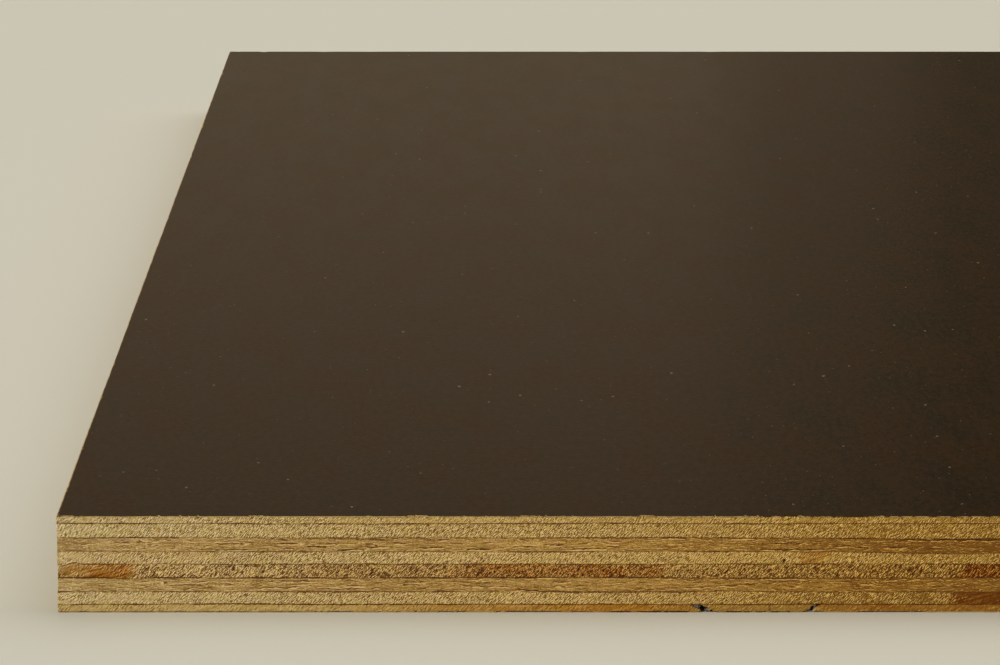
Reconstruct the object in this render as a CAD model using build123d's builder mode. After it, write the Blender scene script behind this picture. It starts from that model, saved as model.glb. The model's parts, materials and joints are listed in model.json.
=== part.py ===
"""Film-faced plywood sheet, a quarter of a full 2440 x 1220 mm sheet, 18 mm thick.

Eight veneers are glued in a balanced lay-up, and a thin brown phenolic film covers each face.
The face grain runs along Y, so the long front edge shows the end grain of every veneer but the two
crossbands, whose grain runs along X.

Frame: X along the long front edge, Y from the front edge to the back edge, Z up.
The origin is at the middle of the lower face. All sizes are in millimetres.
"""

from build123d import *
import os

# The sheet's outline, cut square from a full sheet
sheet_length = 1220.0
sheet_width = 610.0

# Thickness of each layer, from the upper face down
face_film_thickness = 0.2
face_veneer_thickness = 1.2
upper_core_thickness = 2.65
upper_crossband_thickness = 2.6
upper_centre_thickness = 2.3
lower_centre_thickness = 2.6
lower_crossband_thickness = 2.6
lower_core_thickness = 2.35
back_veneer_thickness = 1.3
back_film_thickness = 0.2

# A dead knot in the back veneer, cut through by the front edge. It is the stub of a branch, an
# elliptical cone that narrows towards the lower face.
knot_from_left_end = 127.3
knot_from_front = 2.0
knot_upper_half_length = 10.7
knot_lower_half_length = 8.8
knot_half_width = 7.5
knot_lean = 0.5

# The knot's bark has dropped out and left a pocket. The pocket lies a little in front of the knot,
# so that it stands open on each side of the knot and closes behind it.
bark_thickness = 1.4
bark_widening = 0.5
bark_shift = 1.0

# A drying check splits the knot from the front edge inwards
check_width = 0.3
check_depth = 4.5
check_from_knot_middle = 2.8

# The layers from the floor up, each laid on the one before it
lay_up = [
    ("back_film", back_film_thickness),
    ("back_veneer", back_veneer_thickness),
    ("lower_core_veneer", lower_core_thickness),
    ("lower_crossband", lower_crossband_thickness),
    ("lower_centre_veneer", lower_centre_thickness),
    ("upper_centre_veneer", upper_centre_thickness),
    ("upper_crossband", upper_crossband_thickness),
    ("upper_core_veneer", upper_core_thickness),
    ("face_veneer", face_veneer_thickness),
    ("face_film", face_film_thickness),
]
knotty_layer = "back_veneer"

front_edge = -sheet_width / 2
left_end = -sheet_length / 2
knot_x = left_end + knot_from_left_end
knot_y = front_edge + knot_from_front


def make_bark_pocket(underside, thickness):
    """The space that the bark left: a tapered ellipse round the knot, less the knot's own cone."""
    lower_plane = Plane.XY.offset(underside)
    upper_plane = Plane.XY.offset(underside + thickness)
    pocket_y = knot_y - bark_shift
    pocket_half_width = knot_half_width + bark_widening
    with BuildPart() as pocket:
        with BuildSketch(lower_plane):
            with Locations((knot_x + knot_lean, pocket_y)):
                Ellipse(knot_lower_half_length + bark_thickness, pocket_half_width)
        with BuildSketch(upper_plane):
            with Locations((knot_x, pocket_y)):
                Ellipse(knot_upper_half_length + bark_thickness, pocket_half_width)
        loft()
        with BuildSketch(lower_plane):
            with Locations((knot_x + knot_lean, knot_y)):
                Ellipse(knot_lower_half_length, knot_half_width)
        with BuildSketch(upper_plane):
            with Locations((knot_x, knot_y)):
                Ellipse(knot_upper_half_length, knot_half_width)
        loft(mode=Mode.SUBTRACT)
    return pocket.part


def make_layer(label, underside, thickness):
    """One full-size layer, as thick as given, with its lower face at the height underside."""
    with BuildPart() as layer:
        with BuildSketch(Plane.XY.offset(underside)):
            Rectangle(sheet_length, sheet_width)
        extrude(amount=thickness)
    layer.part.label = label
    return layer.part


def make_knotty_layer(label, underside, thickness):
    """The veneer with the knot: a plain layer less the bark pocket and the check in the knot."""
    plain_layer = make_layer(label, underside, thickness)
    bark_pocket = make_bark_pocket(underside, thickness)
    with BuildPart() as layer:
        add(plain_layer)
        add(bark_pocket, mode=Mode.SUBTRACT)
        with BuildSketch(Plane.XY.offset(underside)):
            with Locations((knot_x + check_from_knot_middle, front_edge)):
                Rectangle(check_width, 2 * check_depth)
        extrude(amount=thickness, mode=Mode.SUBTRACT)
    layer.part.label = label
    return layer.part


os.makedirs("parts", exist_ok=True)
height = 0.0
for name, layer_thickness in lay_up:
    make = make_knotty_layer if name == knotty_layer else make_layer
    export_step(make(name, height, layer_thickness), f"parts/{name}.step")
    height += layer_thickness
print(f"{len(lay_up)} layers, {sheet_length} x {sheet_width} x {round(height, 3)} mm")
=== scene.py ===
"""Looks of a quarter sheet of film-faced plywood, 18 mm thick, lying on a pale floor.

Each layer's sawn edge is a surface worked out from two parameters: the way along the rim of the
sheet and the height in the layer. Lengths are in millimetres until a mesh is made.
"""
import json
import math

import bpy
import numpy as np
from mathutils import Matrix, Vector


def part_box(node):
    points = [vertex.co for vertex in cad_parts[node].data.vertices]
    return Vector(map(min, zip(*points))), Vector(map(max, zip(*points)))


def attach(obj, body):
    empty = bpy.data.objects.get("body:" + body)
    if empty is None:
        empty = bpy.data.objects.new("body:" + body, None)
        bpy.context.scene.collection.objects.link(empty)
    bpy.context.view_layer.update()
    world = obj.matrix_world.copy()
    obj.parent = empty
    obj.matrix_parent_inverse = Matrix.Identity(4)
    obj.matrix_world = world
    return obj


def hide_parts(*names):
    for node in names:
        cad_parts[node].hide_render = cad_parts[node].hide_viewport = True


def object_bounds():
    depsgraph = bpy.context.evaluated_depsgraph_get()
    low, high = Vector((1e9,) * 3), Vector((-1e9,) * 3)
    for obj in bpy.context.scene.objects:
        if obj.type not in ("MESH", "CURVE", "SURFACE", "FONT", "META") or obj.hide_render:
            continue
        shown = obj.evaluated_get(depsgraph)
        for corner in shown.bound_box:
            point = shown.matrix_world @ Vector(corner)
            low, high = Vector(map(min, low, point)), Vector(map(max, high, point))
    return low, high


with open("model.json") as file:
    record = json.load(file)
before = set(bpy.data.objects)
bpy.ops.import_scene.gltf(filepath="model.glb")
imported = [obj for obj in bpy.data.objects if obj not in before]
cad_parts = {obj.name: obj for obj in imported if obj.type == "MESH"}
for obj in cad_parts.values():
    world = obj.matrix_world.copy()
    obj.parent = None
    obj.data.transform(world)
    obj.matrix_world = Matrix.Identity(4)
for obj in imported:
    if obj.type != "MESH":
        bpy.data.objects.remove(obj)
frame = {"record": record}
cad_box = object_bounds()

MM = 0.001

# The sheet, from the frame
sheet_low = np.array(cad_box[0]) / MM
sheet_high = np.array(cad_box[1]) / MM
sheet_length, sheet_width, sheet_thickness = sheet_high - sheet_low

# The layers from the floor up. On the long edges the crossbands show long grain, and the rest end grain
LAYERS = (
    "back_film", "back_veneer", "lower_core_veneer", "lower_crossband", "lower_centre_veneer",
    "upper_centre_veneer", "upper_crossband", "upper_core_veneer", "face_veneer", "face_film",
)
CROSSBANDS = ("lower_crossband", "upper_crossband")
layer_floor = {name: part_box(name)[0].z / MM for name in LAYERS}
layer_top = {name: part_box(name)[1].z / MM for name in LAYERS}

# The camera looks down on the front left corner through a long lens
PHOTO_WIDTH_PX = 1000
FOCAL_LENGTH_PX = 5130
SENSOR_WIDTH = 36.0
CAMERA_FROM_LEFT_END = 80.8
CAMERA_BEFORE_FRONT = 908.9
CAMERA_ABOVE_FACE = 212.2
CAMERA_DIP = math.radians(11.088)

# The front edge in the photograph: column of its left end, row of its top, and pixels to a millimetre
CORNER_PX = 55.6
EDGE_TOP_PX = 515.9
PX_PER_MM = 5.5
PX_PER_MM_UP = 5.4


def from_left(px):
    """Distance from the left end of a place on the front edge, given its pixel column."""
    return (px - CORNER_PX) / PX_PER_MM


def height_at(px):
    """Height above the floor of a place on the front edge, given its pixel row."""
    return sheet_thickness - (px - EDGE_TOP_PX) / PX_PER_MM_UP


def new_object(name, data):
    """An object of some data, put in the scene."""
    made = bpy.data.objects.new(name, data)
    bpy.context.scene.collection.objects.link(made)
    return made


def make_camera():
    """The photograph's camera: level from side to side, tilted down, with no shift."""
    data = bpy.data.cameras.new("camera")
    data.sensor_width = SENSOR_WIDTH
    data.lens = FOCAL_LENGTH_PX * SENSOR_WIDTH / PHOTO_WIDTH_PX
    data.clip_end = 200.0
    camera = new_object("camera", data)
    camera.location = (
        (sheet_low[0] + CAMERA_FROM_LEFT_END) * MM,
        (sheet_low[1] - CAMERA_BEFORE_FRONT) * MM,
        (sheet_high[2] + CAMERA_ABOVE_FACE) * MM,
    )
    camera.rotation_euler = (math.pi / 2 - CAMERA_DIP, 0.0, 0.0)
    bpy.context.scene.camera = camera


# Noise, from which every uneven thing here is made

COLUMN_FACTOR, ROW_FACTOR, SEED_FACTOR, MIX_FACTOR = 374761393, 668265263, 974634777, 1274126177
POSITIVE_BITS, VALUE_BITS = 0x7FFFFFFF, 0xFFFFFF


def cell_value(column, row, seed):
    """A fixed number from 0 to 1 for each cell of a lattice: column, row and seed are multiplied by
    large odd numbers and added, and the bits of the sum are mixed."""
    mixed = column.astype(np.int64) * COLUMN_FACTOR + row.astype(np.int64) * ROW_FACTOR + seed * SEED_FACTOR
    mixed = (mixed ^ (mixed >> 13)) & POSITIVE_BITS
    mixed = (mixed * MIX_FACTOR) & POSITIVE_BITS
    mixed = mixed ^ (mixed >> 16)
    return (mixed & VALUE_BITS) / VALUE_BITS


def noise(x, y, seed):
    """Smooth noise from -1 to 1: the values of the four cells round a point, blended both ways by
    3t^2 - 2t^3, where t is the place in the cell."""
    x, y = np.broadcast_arrays(x, y)
    column, row = np.floor(x), np.floor(y)
    across, up = x - column, y - row
    across, up = across**2 * (3 - 2 * across), up**2 * (3 - 2 * up)
    below = cell_value(column, row, seed) * (1 - across) + cell_value(column + 1, row, seed) * across
    above = cell_value(column, row + 1, seed) * (1 - across) + cell_value(column + 1, row + 1, seed) * across
    return 2 * (below * (1 - up) + above * up) - 1


def spots(x, y, size, seed):
    """Noise whose spots are size = (length, width)."""
    return noise(x / size[0], y / size[1], seed)


def ripple(x, seed):
    """Noise along a line."""
    return noise(x, np.zeros_like(x) + 0.5, seed)


def ripples(x, waves, seed, apart=1):
    """The sum of some ripples, each given by its length and size, with seeds that far apart."""
    return sum(size * ripple(x / length, seed + apart * i) for i, (length, size) in enumerate(waves))


def smooth_step(low, high, x):
    """0 below low, 1 above high, and 3t^2 - 2t^3 between."""
    t = np.clip((x - low) / (high - low), 0, 1)
    return t * t * (3 - 2 * t)


def stretch(x, start, end, fade):
    """1 between start and end, fading to 0 over the length fade outside them."""
    return smooth_step(start - fade, start, x) * (1 - smooth_step(end, end + fade, x))


def stretch_px(along, first_px, last_px, fade):
    """The same between two pixel columns on the front edge."""
    return stretch(along, from_left(first_px), from_left(last_px), fade)


def rise_over(columns_px, along):
    """0 before the first pixel column of a pair, 1 after the second, and smooth between."""
    return smooth_step(from_left(columns_px[0]), from_left(columns_px[1]), along)


# The rim of the sheet, walked from the back left corner to the front left one and on round

# Spacing of the rim's columns: in the fine stretch, at the corners without one, and at most
FINE_STEP = 0.18
CORNER_STEP = 0.5
COARSE_STEP = 3.5
# Growth of the spacing with the distance from the fine stretch, and with the distance from a corner
STEP_GROWTH = 0.025
CORNER_GROWTH = 0.1
# The fine stretch is the photographed length, and a little of the left edge before the corner
PHOTOGRAPHED_LENGTH = 174.0
FINE_BEFORE_CORNER = 3.0
# Stands for a fine stretch on the edges that have none: a point before their start
NO_FINE_STRETCH = -1.0
EDGE_SAMPLES = 40001
CORNER_SLIDE = 20.0


def stations(length, fine_from, fine_to, least_step):
    """Distances along an edge. The step is least_step in the fine stretch, grows by STEP_GROWTH of the
    distance from it, up to COARSE_STEP, and shrinks to least_step again at both ends. The sum of
    1 / step counts the steps up to each place, and the stations lie at equal shares of the count."""
    x = np.linspace(0, length, EDGE_SAMPLES)
    away = np.maximum(fine_from - x, 0) + np.maximum(x - fine_to, 0)
    step = np.minimum(least_step + STEP_GROWTH * away, COARSE_STEP)
    step = np.minimum(step, least_step + CORNER_GROWTH * np.minimum(x, length - x))
    count = np.concatenate([[0], np.cumsum(np.diff(x) * 2 / (step[1:] + step[:-1]))])
    return np.interp(np.linspace(0, count[-1], math.ceil(count[-1]) + 1), count, x)


def walk_rim():
    """Arrays over the rim's columns: place (x, y), outward direction, way along the rim from the left
    end of the front edge, and whether the column is on a long edge. The end is the way at the rim's
    last point. Within CORNER_SLIDE of a corner the direction leans towards the corner, up to 45
    degrees at the corner itself, so that a depth is kept on both sides of it and no column crosses
    another."""
    left, front = sheet_low[:2]
    right, back = sheet_high[:2]
    fine_from = sheet_width - FINE_BEFORE_CORNER
    plain = (NO_FINE_STRETCH, NO_FINE_STRETCH, CORNER_STEP)
    edges = (
        ((left, back), (0, -1), (-1, 0), stations(sheet_width, fine_from, sheet_width, FINE_STEP)),
        ((left, front), (1, 0), (0, -1), stations(sheet_length, 0, PHOTOGRAPHED_LENGTH, FINE_STEP)),
        ((right, front), (0, 1), (1, 0), stations(sheet_width, *plain)),
        ((right, back), (-1, 0), (0, 1), stations(sheet_length, *plain)),
    )
    parts = {"place": [], "out": [], "along": [], "long_edge": []}
    walked = -sheet_width
    for start, heading, outward, distances in edges:
        way = distances[:-1, None]
        heading = np.array(heading)
        parts["place"].append(np.array(start) + way * heading)
        near_start = np.maximum(1 - way / CORNER_SLIDE, 0)
        near_end = np.maximum(1 - (distances[-1] - way) / CORNER_SLIDE, 0)
        parts["out"].append(np.array(outward) + (near_end - near_start) * heading)
        parts["along"].append(walked + way[:, 0])
        parts["long_edge"].append(np.full(len(way), heading[0] != 0))
        walked += distances[-1]
    return {**{name: np.concatenate(arrays) for name, arrays in parts.items()}, "end": walked}


rim = walk_rim()

# Meshes

# Depth of the straight ring where a layer's relief ends, and of the flat grid inside it
RING_DEPTH = 7.0
CAP_INSET = 9.0
CAP_CELLS = (24, 12)
# A wall with fewer rows than this is a film's, and is shaded flat
SMOOTH_FROM_ROWS = 5
# Keeps a column at the very place of an outline point from falling before it
ROUNDING = 1e-6


def cap_outline():
    """The flat inner part of a layer's face is a grid of CAP_CELLS, shrunk towards the middle of the
    sheet by CAP_INSET. Returns its points, its quads with their normals up, the numbers of its outline
    points in the order of the rim, and the outline point that stands nearest before each column."""
    across, deep = CAP_CELLS
    half = np.array([sheet_length, sheet_width]) / 2 - CAP_INSET
    x, y = np.meshgrid(np.linspace(-half[0], half[0], across + 1), np.linspace(-half[1], half[1], deep + 1))
    grid = np.stack([x, y], -1).reshape(-1, 2)
    number = np.arange(len(grid)).reshape(deep + 1, across + 1)
    quads = np.stack([number[:-1, :-1], number[:-1, 1:], number[1:, 1:], number[1:, :-1]], -1).reshape(-1, 4)
    outline = np.concatenate([number[:0:-1, 0], number[0, :-1], number[:-1, -1], number[-1, :0:-1]])
    ends = np.array([-sheet_width, 0, sheet_length, sheet_length + sheet_width, rim["end"]])
    sides = zip(ends[:-1], np.diff(ends), (deep, across, deep, across))
    walked = np.concatenate([start + length * np.arange(cells) / cells for start, length, cells in sides])
    nearest = np.searchsorted(walked, rim["along"] + ROUNDING, side="right") - 1
    return grid, quads, outline, nearest


def wall_faces(rows, columns):
    """Quads between the rows of a wall that closes round the rim."""
    start = np.arange(rows - 1)[:, None] * columns
    column = np.arange(columns)
    after = (column + 1) % columns
    quads = np.stack([start + column, start + after, start + columns + after, start + columns + column], -1)
    return quads.reshape(-1, 4)


def fan_faces(row_start, inner):
    """Triangles with their normals up between a row of the wall and the flat grid, given the grid point
    for each column: one on each column's step, and one more where the grid point changes."""
    column = row_start + np.arange(len(inner))
    after, inner_after = np.roll(column, -1), np.roll(inner, -1)
    near = np.stack([column, after, inner], -1)
    far = np.stack([after, inner_after, inner], -1)[inner != inner_after]
    return np.concatenate([near, far])


def layer_shape(floor, top, heights, depths):
    """Points and faces of a closed layer. Its wall has the given heights and depths, one row of arrays
    from its lower edge up, joined by quads. Below and above the wall, quads run inwards to a straight
    ring at RING_DEPTH, and triangles from there to a flat grid, level with the layer's faces."""
    level = np.ones_like(rim["along"])
    heights = np.vstack([floor * level, heights, top * level])
    depths = np.vstack([RING_DEPTH * level, depths, RING_DEPTH * level])
    rows, columns = heights.shape
    grid, grid_quads, outline, nearest = cap_outline()
    wall = rim["place"][None] - rim["out"][None] * depths[..., None]
    wall = np.concatenate([wall, heights[..., None]], -1).reshape(-1, 3)
    caps = [np.column_stack([grid, np.full(len(grid), height)]) for height in (floor, top)]
    lower_start, upper_start = len(wall), len(wall) + len(grid)
    lower_fan = fan_faces(0, lower_start + outline[nearest])[:, ::-1]
    upper_fan = fan_faces((rows - 1) * columns, upper_start + outline[nearest])
    fans = np.concatenate([lower_fan, upper_fan])
    flats = np.concatenate([grid_quads[:, ::-1] + lower_start, grid_quads + upper_start])
    return np.concatenate([wall, *caps]), (wall_faces(rows, columns), fans, flats)


def make_mesh(name, points, faces):
    """A mesh of points in millimetres and of arrays of quads or triangles, and the number of the point
    at each corner of its faces."""
    corners = np.concatenate([some.ravel() for some in faces])
    sizes = np.repeat([some.shape[1] for some in faces], [len(some) for some in faces])
    mesh = bpy.data.meshes.new(name)
    mesh.vertices.add(len(points))
    mesh.vertices.foreach_set("co", (points * MM).astype(np.float32).ravel())
    mesh.loops.add(len(corners))
    mesh.loops.foreach_set("vertex_index", corners.astype(np.int32))
    mesh.polygons.add(len(sizes))
    mesh.polygons.foreach_set("loop_start", (np.cumsum(sizes) - sizes).astype(np.int32))
    return mesh, corners


def add_edge_map(mesh, points, corners, rows):
    """The UV map edge: the way along the rim and the height, in metres. Where the wall closes, the way
    runs on to the rim's end."""
    columns = len(rim["along"])
    way = np.zeros(len(points))
    way[:rows * columns] = np.tile(rim["along"], rows)
    u = way[corners]
    closing = np.zeros(((rows - 1) * columns, 4), bool)
    closing[columns - 1::columns, 1:3] = True
    u[:closing.size][closing.ravel()] = rim["end"]
    layer = mesh.uv_layers.new(name="edge")
    layer.data.foreach_set("uv", (np.stack([u, points[corners, 2]], -1) * MM).astype(np.float32).ravel())


def ringed_layer(name, floor, top, heights, depths, fields):
    """A closed layer as a piece. A veneer's wall is shaded smooth, and a film's and the faces flat.
    Each field is a number for each point of the wall, and the ring takes those of the row beside it."""
    points, faces = layer_shape(floor, top, heights, depths)
    mesh, corners = make_mesh(name, points, faces)
    rows, columns = len(heights) + 2, len(rim["along"])
    number = np.arange(len(mesh.polygons))
    on_wall = (number >= columns) & (number < len(faces[0]) - columns)
    mesh.polygons.foreach_set("use_smooth", on_wall & (len(heights) >= SMOOTH_FROM_ROWS))
    add_edge_map(mesh, points, corners, rows)
    for field_name, values in fields.items():
        attribute = mesh.attributes.new(field_name, "FLOAT", "POINT")
        spread = np.zeros(len(points))
        spread[:rows * columns] = np.concatenate([values[0], values.ravel(), values[-1]])
        attribute.data.foreach_set("value", spread.astype(np.float32))
    mesh.update()
    mesh.validate()
    return new_object(name, mesh)


# Glue lines: the boundaries that two layers share

# Length and size of the ripples in a glue line, and of the swells in its darkness
GLUE_RIPPLES = ((17, 0.07), (4.3, 0.045), (1.1, 0.04), (0.42, 0.035))
GLUE_SWELLS = ((7, 0.45), (1.5, 0.4))
# Bends of the line above a layer: pixel column of the middle, half-length and rise in millimetres
GLUE_LINE_BENDS = {
    "lower_core_veneer": ((735, 4.5, 0.14),),
    "lower_crossband": ((130, 3.2, -0.24),),
    "lower_centre_veneer": ((73, 0.9, 0.34), (62, 0.7, -0.25)),
    "upper_centre_veneer": ((960, 16.0, -0.36),),
    "upper_crossband": ((940, 14.0, -0.22),),
    "upper_core_veneer": ((605, 3.0, 0.12),),
}
# How dark the glue is on the boundary above each layer, in the order of LAYERS
GLUE_DARKNESS = (0.15, 0.85, 0.65, 0.85, 0.65, 0.5, 0.7, 0.85, 0.0)


def glue_line(index, along):
    """Height of the boundary above layer number index: its height in the frame, plus ripples, plus the
    bends seen in the photograph, each a bell curve. The boundary with a film is flat."""
    name = LAYERS[index]
    height = np.full_like(along, layer_top[name])
    if index in (0, len(LAYERS) - 2):
        return height
    height += ripples(along, GLUE_RIPPLES, 40 + index, 20)
    for middle_px, half_length, rise in GLUE_LINE_BENDS.get(name, ()):
        height += rise * np.exp(-(((along - from_left(middle_px)) / half_length) ** 2))
    return height


def glue_darkness(index, along):
    """Darkness of the glue above layer number index: a share of its own, rising and falling along the
    rim with two ripples."""
    swell = ripples(along, GLUE_SWELLS, 700 + index, 20)
    return np.clip(GLUE_DARKNESS[index] + swell, 0, 1)


# Relief of the sawn edges. A depth is positive where wood is missing.

# The saw's strokes lean by this angle on end grain. Length and width of its strokes and of a pore
STROKE_ANGLE = math.radians(47)
BROAD_STROKE = np.array([0.8, 0.22])
FINE_STROKE = np.array([0.4, 0.17])
PORE = np.array([0.5, 0.3])
# How far and how quickly strokes wander, and the size of rough and calm patches
STROKE_WANDER = 0.25
STROKE_BEND = (1.3, 1.3)
ROUGH_PATCH = (9, 3)
# Length and width of long fibres, and length and size of their bends
BROAD_FIBRE = (4.5, 0.30)
FINE_FIBRE = (0.9, 0.14)
SPLIT_FIBRE = (2.0, 0.15)
FIBRE_BENDS = ((7, 0.12), (1.7, 0.05))


def along_strokes(along, height):
    """Distances along and across the saw's strokes: along and height, turned by STROKE_ANGLE."""
    cos, sin = math.cos(STROKE_ANGLE), math.sin(STROKE_ANGLE)
    return cos * along + sin * height, cos * height - sin * along


def torn_strokes(along, height, seed, size):
    """End grain torn by the saw: noise drawn out along wandering strokes, one broad and one fine, with
    the peaks of the broad one torn deeper. Rough and calm patches take turns."""
    lengthways, crossways = along_strokes(along, height)
    lengthways = lengthways + STROKE_WANDER * spots(along, height, STROKE_BEND, seed + 5)
    broad = spots(lengthways, crossways, BROAD_STROKE * size, seed)
    fine = spots(lengthways, crossways, FINE_STROKE * size, seed + 1)
    rough = 0.6 + 0.4 * spots(along, height, ROUGH_PATCH, seed + 2)
    return rough * (0.012 * broad + 0.018 * fine + 0.04 * smooth_step(0.3, 0.8, broad))


def pores(along, height, seed, size):
    """Pits where a bundle of fibres came out: the peaks of a leaning noise, about 0.4 mm across."""
    lengthways, crossways = along_strokes(along, height)
    return smooth_step(0.45, 0.85, spots(lengthways, crossways, PORE * size, seed))


def drawn_fibres(along, height, seed):
    """Long grain: noise drawn out along the edge, wandering up and down a little, with the highest
    places split open. Returns the depth, and the splits alone."""
    wandering = height + ripples(along, FIBRE_BENDS, seed + 3)
    broad = spots(along, wandering, BROAD_FIBRE, seed)
    fine = spots(along, wandering, FINE_FIBRE, seed + 1)
    split = smooth_step(0.55, 0.8, spots(along, wandering, SPLIT_FIBRE, seed + 2))
    return 0.012 * broad + 0.008 * fine + 0.03 * split, split


# Cracks in the crossbands, as seen: first and last pixel column, pixel row, depth in millimetres
CROSSBAND_CRACKS = (
    (213, 239, 543.3, 0.15), (214, 248, 550.0, 0.2), (121, 129, 543.0, 0.2), (263, 288, 538.9, 0.15),
    (277, 295, 544.0, 0.2), (278, 292, 548.6, 0.15), (307, 327, 546.5, 0.3), (325, 339, 544.2, 0.2),
    (337, 365, 550.0, 0.35), (355, 385, 539.2, 0.25), (365, 388, 547.0, 0.2), (394, 406, 543.3, 0.2),
    (416, 450, 539.7, 0.15), (418, 446, 547.7, 0.15), (467, 491, 549.6, 0.4), (512, 537, 546.5, 0.25),
    (546, 565, 545.0, 0.3), (572, 607, 548.8, 0.3), (607, 620, 546.5, 0.25), (661, 687, 538.2, 0.25),
    (725, 758, 538.6, 0.25), (775, 803, 543.3, 0.3), (760, 826, 549.6, 0.25), (833, 852, 546.3, 0.25),
    (858, 870, 547.5, 0.3), (873, 878, 543.0, 0.35), (888, 909, 547.5, 0.2), (927, 942, 548.6, 0.2),
    (900, 1004, 540.0, 0.35), (190, 208, 581.3, 0.15), (169, 203, 585.4, 0.15), (268, 316, 581.6, 0.2),
    (269, 297, 588.0, 0.15), (316, 365, 589.2, 0.15), (404, 427, 582.5, 0.3), (465, 509, 586.6, 0.15),
    (475, 491, 583.4, 0.2), (517, 540, 590.9, 0.3), (553, 572, 582.2, 0.15), (768, 812, 581.3, 0.25),
    (684, 704, 587.9, 0.15), (719, 739, 586.6, 0.15), (744, 758, 584.3, 0.2), (882, 899, 580.4, 0.2),
    (861, 875, 584.2, 0.15), (932, 961, 586.7, 0.2),
)
CRACK_HALF_WIDTH = 0.11
CRACK_BENDS = ((1.6, 0.13), (0.5, 0.07))
CRACK_TAPER = 0.5
# A crack's lip: how far from it, how wide, how much it rises, and how strong its painted highlight is
LIP_BELOW = 0.2
LIP_HALF_WIDTH = 0.09
LIP_RISE = 0.05
LIP_HIGHLIGHT = 1.6


def crossband_cracks(along, height):
    """Depth of the cracks and strength of their lips, which rise a little and get a painted highlight. Each
    crack is a narrow groove along a jagged line, which tapers to its ends and closes here and there. Its
    lip lies LIP_BELOW under it, or as far over it for every third crack, broken up by a quick noise."""
    depth, lips = np.zeros(height.shape), np.zeros(height.shape)
    for number, (first_px, last_px, row_px, deep) in enumerate(CROSSBAND_CRACKS):
        start, end = from_left(first_px), from_left(last_px)
        near = (along[0] > start - 1) & (along[0] < end + 1)
        x = along[:, near]
        away = height[:, near] - (height_at(row_px) + ripples(x, CRACK_BENDS, 200 + number, 100))
        open_half = CRACK_HALF_WIDTH * np.clip(0.6 + 0.6 * ripple(x / 0.7, 400 + number), 0.1, 1.2)
        tapered = stretch(x, start + 0.4, end - 0.4, CRACK_TAPER)
        groove = np.clip(1.5 - np.abs(away) / open_half, 0, 1) * tapered
        depth[:, near] = np.maximum(depth[:, near], deep * groove)
        lip_side = -LIP_BELOW if number % 3 == 0 else LIP_BELOW
        lip = np.clip(1.4 - np.abs(away + lip_side) / LIP_HALF_WIDTH, 0, 1) * tapered
        lips[:, near] = np.maximum(lips[:, near], lip * (0.5 + 0.5 * ripple(x / 0.7, 450 + number)))
    return depth, lips


# The pocket that the bark left on both sides of the knot in the back veneer. For each side, the pixel
# columns between which it is open at the top of the veneer, then at the bottom
BARK_POCKETS = (((690, 700), (701, 713)), ((817, 822), (805, 813)))
# The pocket's relief is kept shallow so that its crumbs show; its near black colour is painted shade
BARK_DEPTH = 1.4
RAGGED_BARK = (((0.5, 0.35), 0.38), ((0.25, 0.22), 0.3))
BARK_CRUMB = (0.62, 0.5)
CRUMBS_FILL = 0.8
# The drying check in the knot, and the knot, which is darker than the veneer
CHECK_PX = 771.2
KNOT_PX = (704, 812)
KNOT_DARKER = 0.3
# A small hole in the upper centre veneer: pixel column and row, half-width, half-height and depth
HOLE = (785.0, 561.0, 0.22, 0.38, 0.6)


def slanting(lower_px, upper_px, up):
    """Place along the front edge of a line from one pixel column at the bottom of a layer to another at
    its top, at the share up of its height."""
    return from_left(lower_px) + (from_left(upper_px) - from_left(lower_px)) * up


def bark_pockets(along, height, floor, top):
    """How open the bark pocket is, 0 to 1: between two slanting lines with ragged sides, on each side
    of the knot, and in the check, a thin line that wanders downwards."""
    up = (height - floor) / (top - floor)
    ragged = sum(size * spots(along, height, spot, 501 + i) for i, (spot, size) in enumerate(RAGGED_BARK))
    opened = np.zeros(up.shape)
    for upper, lower in BARK_POCKETS:
        left, right = slanting(lower[0], upper[0], up), slanting(lower[1], upper[1], up)
        inside = np.minimum(along - left, right - along) + ragged
        opened = np.maximum(opened, smooth_step(0.0, 0.25, inside))
    line = from_left(CHECK_PX) + 0.22 * ripple(height / 0.45, 503)
    check = smooth_step(0.0, 0.15, 0.10 + 0.07 * ripple(height / 0.3, 504) - np.abs(along - line))
    return np.maximum(opened, check)


def small_hole(along, height):
    """The hole in the upper centre veneer, 0 to 1: an ellipse with soft sides."""
    column_px, row_px, half_width, half_height = HOLE[:4]
    away = np.hypot((along - from_left(column_px)) / half_width, (height - height_at(row_px)) / half_height)
    return 1 - smooth_step(0.6, 1.2, away)


# Pits of end grain: size of the pores, depth and darkness, in the lower centre veneer and elsewhere.
# The darkness is partly painted shade in the pits
COARSE_PITS = (1.1, 0.30, 0.9)
FINE_PITS = (0.7, 0.12, 0.5)
PITTED_PATCH = (4, 2)
UNPITTED_BY_GLUE = 0.25


def pits(name, along, height, to_glue, rough, seed):
    """Depth and darkness of the pits, the darkness partly painted shade in them. The lower centre veneer
    is pitted all along but for its stained corner, and the others only in patches, where the saw left them
    rough."""
    if name == "lower_centre_veneer":
        size, deep, darkness = COARSE_PITS
        amount = np.clip(0.25 + 0.85 * (1 - stretch(along, -2.0, from_left(128), 3.0)), 0, 1)
    else:
        size, deep, darkness = FINE_PITS
        amount = smooth_step(0.2, 0.7, spots(along, height, PITTED_PATCH, seed + 9)) * np.minimum(rough, 1)
    pitted = pores(along, height, seed + 6, size) * amount * smooth_step(0, UNPITTED_BY_GLUE, to_glue)
    return deep * pitted, darkness * pitted


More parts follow.
